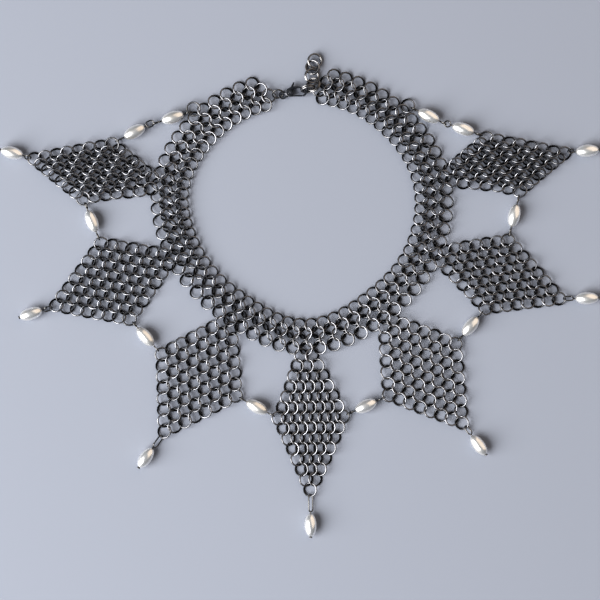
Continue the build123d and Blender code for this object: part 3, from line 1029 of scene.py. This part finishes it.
@dataclass
class BeadWork:
    """Oval beads, and pins with closed loops or a head, on every drop and between them.

    The tips' rise and lay are in degrees. A loop shifts sideways to meet its ring, by no more than
    the share of its half width that loop_offset gives, and it is kept off the floor as far as that
    allows unless it lies flatter than flat_loop.
    """

    layout: MailLayout
    workshop: Workshop
    length: float = 13.5 * MM
    diameter: float = 7.2 * MM
    pin_wire: float = 0.75 * MM
    pin_play: float = 0.08 * MM
    tip_rise: float = 4.0
    loop_bore: float = 2.7 * MM
    loop_neck: float = 0.5 * MM
    loop_slack: float = 0.35 * MM
    loop_least: float = 1.03
    loop_weld: float = 0.6
    loop_offset: float = 0.6
    loop_floor: float = 0.05 * MM
    flat_loop: float = 0.1
    tip_lay: float = 18.0
    head_diameter: float = 1.9 * MM
    head_thickness: float = 0.6 * MM
    head_rounding: float = 0.2 * MM
    head_sides: int = 16
    rim_angle: float = 1.0
    bead_sides: int = 28
    bead_rows: int = 18
    pole_height: float = 0.9999
    rim_depth: float = 0.35 * MM
    wire_sides: int = 10
    bend_steps: int = 10
    weld: float = 0.0075 * MM
    tones: tuple[float, float] = (0.35, 0.65)
    seed: int = 7

    def __post_init__(self) -> None:
        """Starts the draw of the beads' tones."""
        self.dice = random.Random(self.seed)

    @property
    def loop_half(self) -> float:
        """Half of a loop's width at the middle of its wire."""
        return (self.loop_bore + self.pin_wire) / 2

    @property
    def shortest_reach(self) -> float:
        """Reach of a loop that is only just longer than it is wide."""
        return self.loop_neck + self.pin_wire + self.loop_bore * self.loop_least

    def bead_seat(self, place: complex, heading: complex, rise: float) -> Seat:
        """Seat of a bead that lies on the floor, its front end raised.

        Args:
            place: Its middle seen from above.
            heading: The direction of its hole.
            rise: How far its front end rises, in degrees.

        Returns:
            The seat, with x along the hole.
        """
        lift = math.radians(rise)
        return Seat(
            origin=Vector((place.real, place.imag, self.diameter / 2)),
            x_dir=flat_vector(heading) * math.cos(lift) + Vector((0, 0, math.sin(lift))),
            z_dir=flat_vector(heading * 1j),
        )

    def loop_frame(self, seat: Seat, sign: int, roll: float) -> tuple[Vector, Vector]:
        """Directions of a loop.

        Args:
            seat: The bead's seat.
            sign: The end of the bead, 1 at its front.
            roll: How far the loop rolls from upright, in degrees.

        Returns:
            The direction outwards and the direction across the loop.
        """
        upright = seat.x_dir.cross(seat.z_dir)
        across = upright * math.cos(math.radians(roll)) + seat.z_dir * math.sin(math.radians(roll))
        return seat.x_dir * sign, across

    def ring_loop(self, seat: Seat, sign: int, lay: float, ring: Seat) -> Loop:
        """Loop that takes a ring's wire, laid over from square to it and clear of the floor.

        Args:
            seat: The bead's seat.
            sign: The end of the bead, 1 at its front.
            lay: How far the loop lies over, in degrees.
            ring: The ring's seat.

        Returns:
            The loop.
        """
        inwards = seat.x_dir * -sign
        wire_point = ring_point(ring, self.layout.middle, inwards)
        wire_line = wire_direction(ring, inwards)
        upright = seat.x_dir.cross(seat.z_dir)
        square = math.degrees(math.atan(-upright.dot(wire_line) / seat.z_dir.dot(wire_line)))
        roll = square + (lay if square > 0 else -lay)
        outward, across = self.loop_frame(seat, sign, roll)
        bead_end = seat.origin + outward * (self.length / 2)
        gap = (wire_point - bead_end).dot(outward)
        reach = max(gap + self.layout.wire / 2 + self.loop_slack, self.shortest_reach)
        middle = bead_end + outward * (self.loop_neck + self.pin_wire + reach) / 2
        lowest = (self.loop_half + self.pin_wire / 2) * abs(across.z) + self.loop_floor
        shift = (wire_point - bead_end).dot(across)
        if abs(across.z) > self.flat_loop:
            shift = max(shift, (lowest - middle.z) / across.z)
        furthest = self.loop_half * self.loop_offset
        return Loop(sign, reach, roll, max(min(shift, furthest), -furthest))

    def bead_mesh(self, name: str, seat: Seat) -> bpy.types.Mesh:
        """Turns an oval bead from a sphere, with a drilled hole and soft rims.

        Args:
            name: The mesh's name.
            seat: The bead's seat.

        Returns:
            The mesh.
        """
        bm = bmesh.new()
        bmesh.ops.create_uvsphere(bm, u_segments=self.bead_sides, v_segments=self.bead_rows, radius=1.0)
        poles = [vert for vert in bm.verts if abs(vert.co.z) > self.pole_height]
        bmesh.ops.delete(bm, geom=poles, context="VERTS")
        bmesh.ops.rotate(bm, verts=bm.verts, cent=(0, 0, 0), matrix=Matrix.Rotation(math.pi / 2, 3, "Y"))
        half = Vector((self.length / 2, self.diameter / 2, self.diameter / 2))
        bmesh.ops.scale(bm, verts=bm.verts, vec=half)
        hole = self.pin_wire / 2 + self.pin_play
        for side in (-1, 1):
            rim = [edge for edge in bm.edges if edge.is_boundary and edge.verts[0].co.x * side > 0]
            made = bmesh.ops.extrude_edge_only(bm, edges=rim)
            inner = [item for item in made["geom"] if isinstance(item, bmesh.types.BMVert)]
            bmesh.ops.translate(bm, verts=inner, vec=(-side * self.rim_depth, 0, 0))
            share = hole / Vector(inner[0].co.yz).length
            bmesh.ops.scale(bm, verts=inner, vec=(1, share, share))
        bmesh.ops.bridge_loops(bm, edges=[edge for edge in bm.edges if edge.is_boundary])
        bmesh.ops.recalc_face_normals(bm, faces=bm.faces)
        bmesh.ops.transform(bm, verts=bm.verts, matrix=seat.matrix())
        mesh = finished_mesh(bm, name)
        set_tone(mesh, self.dice.uniform(*self.tones))
        return mesh

    def bend_loop(self, bm: bmesh.types.BMesh, seat: Seat, loop: Loop) -> None:
        """Bends a closed loop of wire at one end of a pin.

        Args:
            bm: The pin's mesh.
            seat: The bead's seat.
            loop: The loop.
        """
        outward, across = self.loop_frame(seat, loop.sign, loop.roll)
        normal = outward.cross(across)
        straight = outward * (loop.reach - self.loop_neck - 2 * self.loop_half)
        bead_to_middle = self.loop_neck + self.pin_wire / 2 + self.loop_half
        near = seat.origin + outward * (self.length / 2 + bead_to_middle) + across * loop.shift
        bender = WireBender(bm, self.pin_wire / 2, self.wire_sides)
        verts = bender.start(Seat(near + across * self.loop_half, outward, normal))
        verts = bender.run(verts, straight)
        verts = bender.turn(verts, near + straight, normal, -math.pi, self.bend_steps)
        verts = bender.run(verts, -straight)
        bender.turn(verts, near, normal, -math.pi, self.bend_steps)

    def pin_mesh(self, name: str, seat: Seat, loops: list[Loop]) -> bpy.types.Mesh:
        """Makes a pin: its shank, a loop for each entry and a head where there is one loop.

        Args:
            name: The mesh's name.
            seat: The bead's seat.
            loops: The pin's loops.

        Returns:
            The mesh.
        """
        free_end = self.length / 2 + self.pin_play + self.head_thickness
        ends = {-1: free_end, 1: free_end}
        bm = bmesh.new()
        for loop in loops:
            sag = self.loop_half - math.sqrt(self.loop_half**2 - loop.shift**2)
            ends[loop.sign] = self.length / 2 + self.loop_neck + self.pin_wire * self.loop_weld + sag
            self.bend_loop(bm, seat, loop)
        close_and_face_out(bm, self.weld)
        shank = bmesh.new()
        bender = WireBender(shank, self.pin_wire / 2, self.wire_sides)
        start = Seat(seat.origin - seat.x_dir * ends[-1], seat.x_dir, seat.z_dir)
        bender.run(bender.start(start), seat.x_dir * (ends[-1] + ends[1]))
        close_and_face_out(shank, self.weld)
        if len(loops) == 1:
            outward = seat.x_dir * -loops[0].sign
            centre = seat.origin + outward * (free_end - self.head_thickness / 2)
            upright = Matrix.Rotation(math.pi / 2, 4, "Y")
            head = bmesh.ops.create_cone(
                shank, cap_ends=True, cap_tris=False, segments=self.head_sides,
                radius1=self.head_diameter / 2, radius2=self.head_diameter / 2, depth=self.head_thickness,
                matrix=Seat(centre, outward, seat.z_dir).matrix() @ upright,
            )
            rims = [edge for edge in edges_among(head["verts"]) if edge.calc_face_angle(0) > self.rim_angle]
            bmesh.ops.bevel(shank, geom=rims, offset=self.head_rounding, offset_type="OFFSET",
                            segments=3, profile=0.5, affect="EDGES", material=-1)
        part = finished_mesh(shank, "shank")
        bm.from_mesh(part)
        bpy.data.meshes.remove(part)
        mesh = finished_mesh(bm, name)
        set_tone(mesh, self.dice.uniform(*self.tones))
        return mesh

    def mount(self, name: str, seat: Seat, loops: list[Loop]) -> None:
        """Makes a bead and its pin.

        Args:
            name: What follows bead_ and pin_ in both nodes' names.
            seat: The bead's seat.
            loops: The pin's loops.
        """
        bead = self.bead_mesh(f"oval_bead_{name}", seat)
        self.workshop.place(bead, Metal.BEAD, f"bead_{name}")
        pin = self.pin_mesh(f"looped_pin_{name}", seat, loops)
        self.workshop.place(pin, Metal.PIN, f"pin_{name}")

    def build_tips(self) -> None:
        """Hangs a bead from each drop's tip."""
        for drop in DROPS:
            tip = self.layout.tip_seat(drop)
            heading = self.layout.drop_axis(drop) * cmath.rect(1, math.radians(drop.swing))
            hook = ring_point(tip, self.layout.middle, flat_vector(heading))
            place = complex(hook.x, hook.y) + heading * (drop.reach + self.length / 2)
            seat = self.bead_seat(place, heading, self.tip_rise)
            self.mount(f"tip_{drop.name}", seat, [self.ring_loop(seat, -1, self.tip_lay, tip)])

    def build_links(self) -> None:
        """Ties each drop to the next with a bead."""
        for drop, following in zip(DROPS, DROPS[1:]):
            start = self.layout.corner_seat(drop, 1)
            finish = self.layout.corner_seat(following, -1)
            span = finish.origin - start.origin
            middle = (start.origin + finish.origin) / 2
            seat = self.bead_seat(complex(middle.x, middle.y), unit(complex(span.x, span.y)), 0)
            loops = [self.ring_loop(seat, -1, 0, start), self.ring_loop(seat, 1, 0, finish)]
            self.mount(f"link_{drop.name}", seat, loops)

    def build_strands(self) -> None:
        """Ties the collar to both upper drops with two beads looped to each other."""
        for strand in STRANDS:
            start = self.layout.strand_seat(strand)
            finish = self.layout.corner_seat(DROPS[strand.drop], strand.side)
            span = finish.origin - start.origin
            chord = complex(span.x, span.y)
            base = complex(start.origin.x, start.origin.y)
            seats = []
            for placed in strand.beads:
                place = base + chord * placed.share + unit(chord) * 1j * placed.bulge
                heading = unit(chord) * cmath.rect(1, math.radians(placed.turn))
                seats.append(self.bead_seat(place, heading, 0))
            inner, outer = seats
            inner_end = inner.origin + inner.x_dir * self.length / 2
            outer_end = outer.origin - outer.x_dir * self.length / 2
            shared = max(((outer_end - inner_end).length + self.loop_slack) / 2, self.shortest_reach)
            inner_loops = [self.ring_loop(inner, -1, 0, start), Loop(1, shared, 0, 0)]
            outer_loops = [Loop(-1, shared, 90, 0), self.ring_loop(outer, 1, 0, finish)]
            self.mount(f"strand_{strand.name}_inner", inner, inner_loops)
            self.mount(f"strand_{strand.name}_outer", outer, outer_loops)

    def build(self) -> None:
        """Makes every bead and pin."""
        self.build_tips()
        self.build_links()
        self.build_strands()


# Closure


@dataclass(frozen=True)
class ChainPair:
    """Two chain rings side by side, placed in ring radii from the collar's right end.

    Facing is the way that they lean, and lean how far, both in degrees.
    """

    right: float
    up: float
    height: float
    facing: float
    lean: float


CHAIN_PAIRS = (
    ChainPair(-1.60, 0.04, 1.11, -81.0, 72.5),
    ChainPair(-0.84, 0.68, 0.86, 145.0, 32.5),
    ChainPair(-1.06, 2.00, 0.62, 0.0, 21.5),
    ChainPair(-0.94, 3.25, 0.56, 161.0, 17.5),
    ChainPair(-0.62, 4.22, 0.545, -13.0, 17.0),
)


@dataclass(frozen=True)
class CastPiece:
    """A piece taken over from its node: the radius of its edges, its finish and its body."""

    name: str
    node: str
    edge_radius: float
    metal: Metal = Metal.CLASP
    body: str = BODY


CAST_PIECES = (
    CastPiece("jump_ring", "clasp_ring", 0.02 * MM, metal=Metal.PIN),
    CastPiece("clasp_claw", "clasp_body", 0.32 * MM),
    CastPiece("clasp_gate", "clasp_lever", 0.22 * MM, body=LEVER_BODY),
    CastPiece("clasp_pin", "clasp_rivet", 0.11 * MM),
)


@dataclass
class Closure:
    """The short chain, the lobster clasp and the ring that holds it."""

    layout: MailLayout
    workshop: Workshop
    nodes: dict[str, bpy.types.Object]
    pair_spread: float = 1.04 * MM
    segments: int = 36
    sides: int = 10
    weld: float = 0.002 * MM
    flat_angle: float = math.radians(4)
    sharp_angle: float = math.radians(35)
    bevel_steps: int = 3
    tone: float = 0.5
    seed: int = 3

    def build_chain(self) -> None:
        """Lays the two-in-two chain ring by ring."""
        shape = RingShape(self.layout.wire, self.layout.bore, self.segments, self.sides, fullness=1.0)
        rings = RingField(shape, random.Random(self.seed))
        end = self.layout.end_seat(-1).origin
        radius = self.layout.middle
        for pair in CHAIN_PAIRS:
            middle = Vector((end.x + pair.right * radius, end.y + pair.up * radius, pair.height * radius))
            lean = math.radians(pair.lean)
            level = cmath.rect(math.sin(lean), math.radians(pair.facing))
            normal = Vector((level.real, level.imag, math.cos(lean)))
            x_dir = normal.orthogonal().normalized()
            for side in (-1, 1):
                rings.add(Seat(middle + normal * side * self.pair_spread / 2, x_dir, normal), loose=False)
        self.workshop.place(rings.mesh("chain_rings"), Metal.CHAIN, "extender_chain")

    def softened(self, piece: CastPiece) -> bpy.types.Mesh:
        """Copies a node's mesh and rounds its edges as casting and tumbling do.

        Args:
            piece: The piece that is made.

        Returns:
            The mesh.
        """
        bm = bmesh.new()
        bm.from_mesh(self.nodes[piece.node].data)
        bmesh.ops.remove_doubles(bm, verts=bm.verts, dist=self.weld)
        bmesh.ops.dissolve_limit(bm, angle_limit=self.flat_angle, verts=bm.verts, edges=bm.edges)
        sharp = [edge for edge in bm.edges if edge.calc_face_angle(0) > self.sharp_angle]
        bmesh.ops.bevel(bm, geom=sharp, offset=piece.edge_radius, offset_type="OFFSET", affect="EDGES",
                        segments=self.bevel_steps, profile=0.5, clamp_overlap=True, material=-1)
        bmesh.ops.triangulate(bm, faces=[face for face in bm.faces if len(face.verts) > 4])
        mesh = finished_mesh(bm, piece.name)
        set_tone(mesh, self.tone)
        return mesh

    def build(self) -> None:
        """Makes the whole closure."""
        self.build_chain()
        for piece in CAST_PIECES:
            self.workshop.place(self.softened(piece), piece.metal, piece.node, piece.body)


# Studio


@dataclass(frozen=True)
class Softbox:
    """A soft light: its place, its size, its strength and its colour."""

    name: str
    place: tuple[float, float, float]
    size: float
    power: float
    colour: Colour


@dataclass
class Studio:
    """The floor, the lights and a camera that looks straight down."""

    aim: tuple[float, float] = (0.0, -53.36 * MM)
    view_width: float = 348 * MM
    camera_height: float = 1.1
    sensor: float = 36.0
    floor_size: float = 6.0
    floor_colour: Colour = (0.294, 0.311, 0.355)
    floor_roughness: float = 0.9
    floor_sheen: float = 0.1
    world_colour: Colour = (0.55, 0.6, 0.68)
    world_strength: float = 0.25
    lights: tuple[Softbox, ...] = (
        Softbox("key_light", (-1.9, -0.9, 1.5), 2.4, 138.0, (1.0, 1.0, 1.0)),
        Softbox("warm_fill", (1.1, 0.75, 0.8), 2.8, 14.5, (1.0, 0.83, 0.66)),
    )

    def lay_floor(self) -> None:
        """Lays a plain pale floor."""
        bm = bmesh.new()
        bmesh.ops.create_grid(bm, x_segments=1, y_segments=1, size=self.floor_size / 2)
        floor = bpy.data.objects.new("floor", finished_mesh(bm, "floor"))
        bpy.context.scene.collection.objects.link(floor)
        plaster = bpy.data.materials.new("pale_floor")
        plaster.use_nodes = True
        shader = plaster.node_tree.nodes["Principled BSDF"]
        shader.inputs["Base Color"].default_value = (*self.floor_colour, 1.0)
        shader.inputs["Roughness"].default_value = self.floor_roughness
        shader.inputs["Specular IOR Level"].default_value = self.floor_sheen
        floor.data.materials.append(plaster)

    def hang_lights(self) -> None:
        """Hangs the softboxes, each aimed at the necklace, and sets the room's own light."""
        target = Vector((*self.aim, 0.0))
        for box in self.lights:
            light = bpy.data.lights.new(box.name, "AREA")
            light.shape = "SQUARE"
            light.size = box.size
            light.energy = box.power
            light.color = box.colour
            lamp = bpy.data.objects.new(box.name, light)
            lamp.location = box.place
            lamp.rotation_euler = (target - Vector(box.place)).to_track_quat("-Z", "Y").to_euler()
            bpy.context.scene.collection.objects.link(lamp)
        world = bpy.data.worlds.new("room")
        world.use_nodes = True
        backdrop = world.node_tree.nodes["Background"]
        backdrop.inputs["Color"].default_value = (*self.world_colour, 1.0)
        backdrop.inputs["Strength"].default_value = self.world_strength
        bpy.context.scene.world = world

    def set_view(self) -> None:
        """Sets a plain view of the colours with more contrast, as the photo has."""
        bpy.context.scene.view_settings.view_transform = "Standard"
        bpy.context.scene.view_settings.look = "High Contrast"

    def set_camera(self) -> None:
        """Sets the camera above the necklace with its top towards the clasp."""
        lens = bpy.data.cameras.new("camera")
        lens.sensor_width = self.sensor
        lens.lens = self.sensor * self.camera_height / self.view_width
        camera = bpy.data.objects.new("camera", lens)
        camera.location = (*self.aim, self.camera_height)
        bpy.context.scene.collection.objects.link(camera)
        bpy.context.scene.camera = camera

    def build(self) -> None:
        """Sets the whole studio."""
        self.lay_floor()
        self.hang_lights()
        self.set_view()
        self.set_camera()
        log.info("studio: %d lights", len(self.lights))


def main() -> None:
    """Builds the necklace on its frame and the studio round it."""
    logging.basicConfig(level=logging.INFO, format="%(name)s: %(message)s")
    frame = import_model()
    layout = MailLayout()
    workshop = Workshop()
    workshop.mix_finishes()
    Mail(layout, workshop).build()
    BeadWork(layout, workshop).build()
    Closure(layout, workshop, frame["nodes"]).build()
    Studio().build()
    log.info("%d pieces", workshop.pieces)


if __name__ == "__main__":
    main()
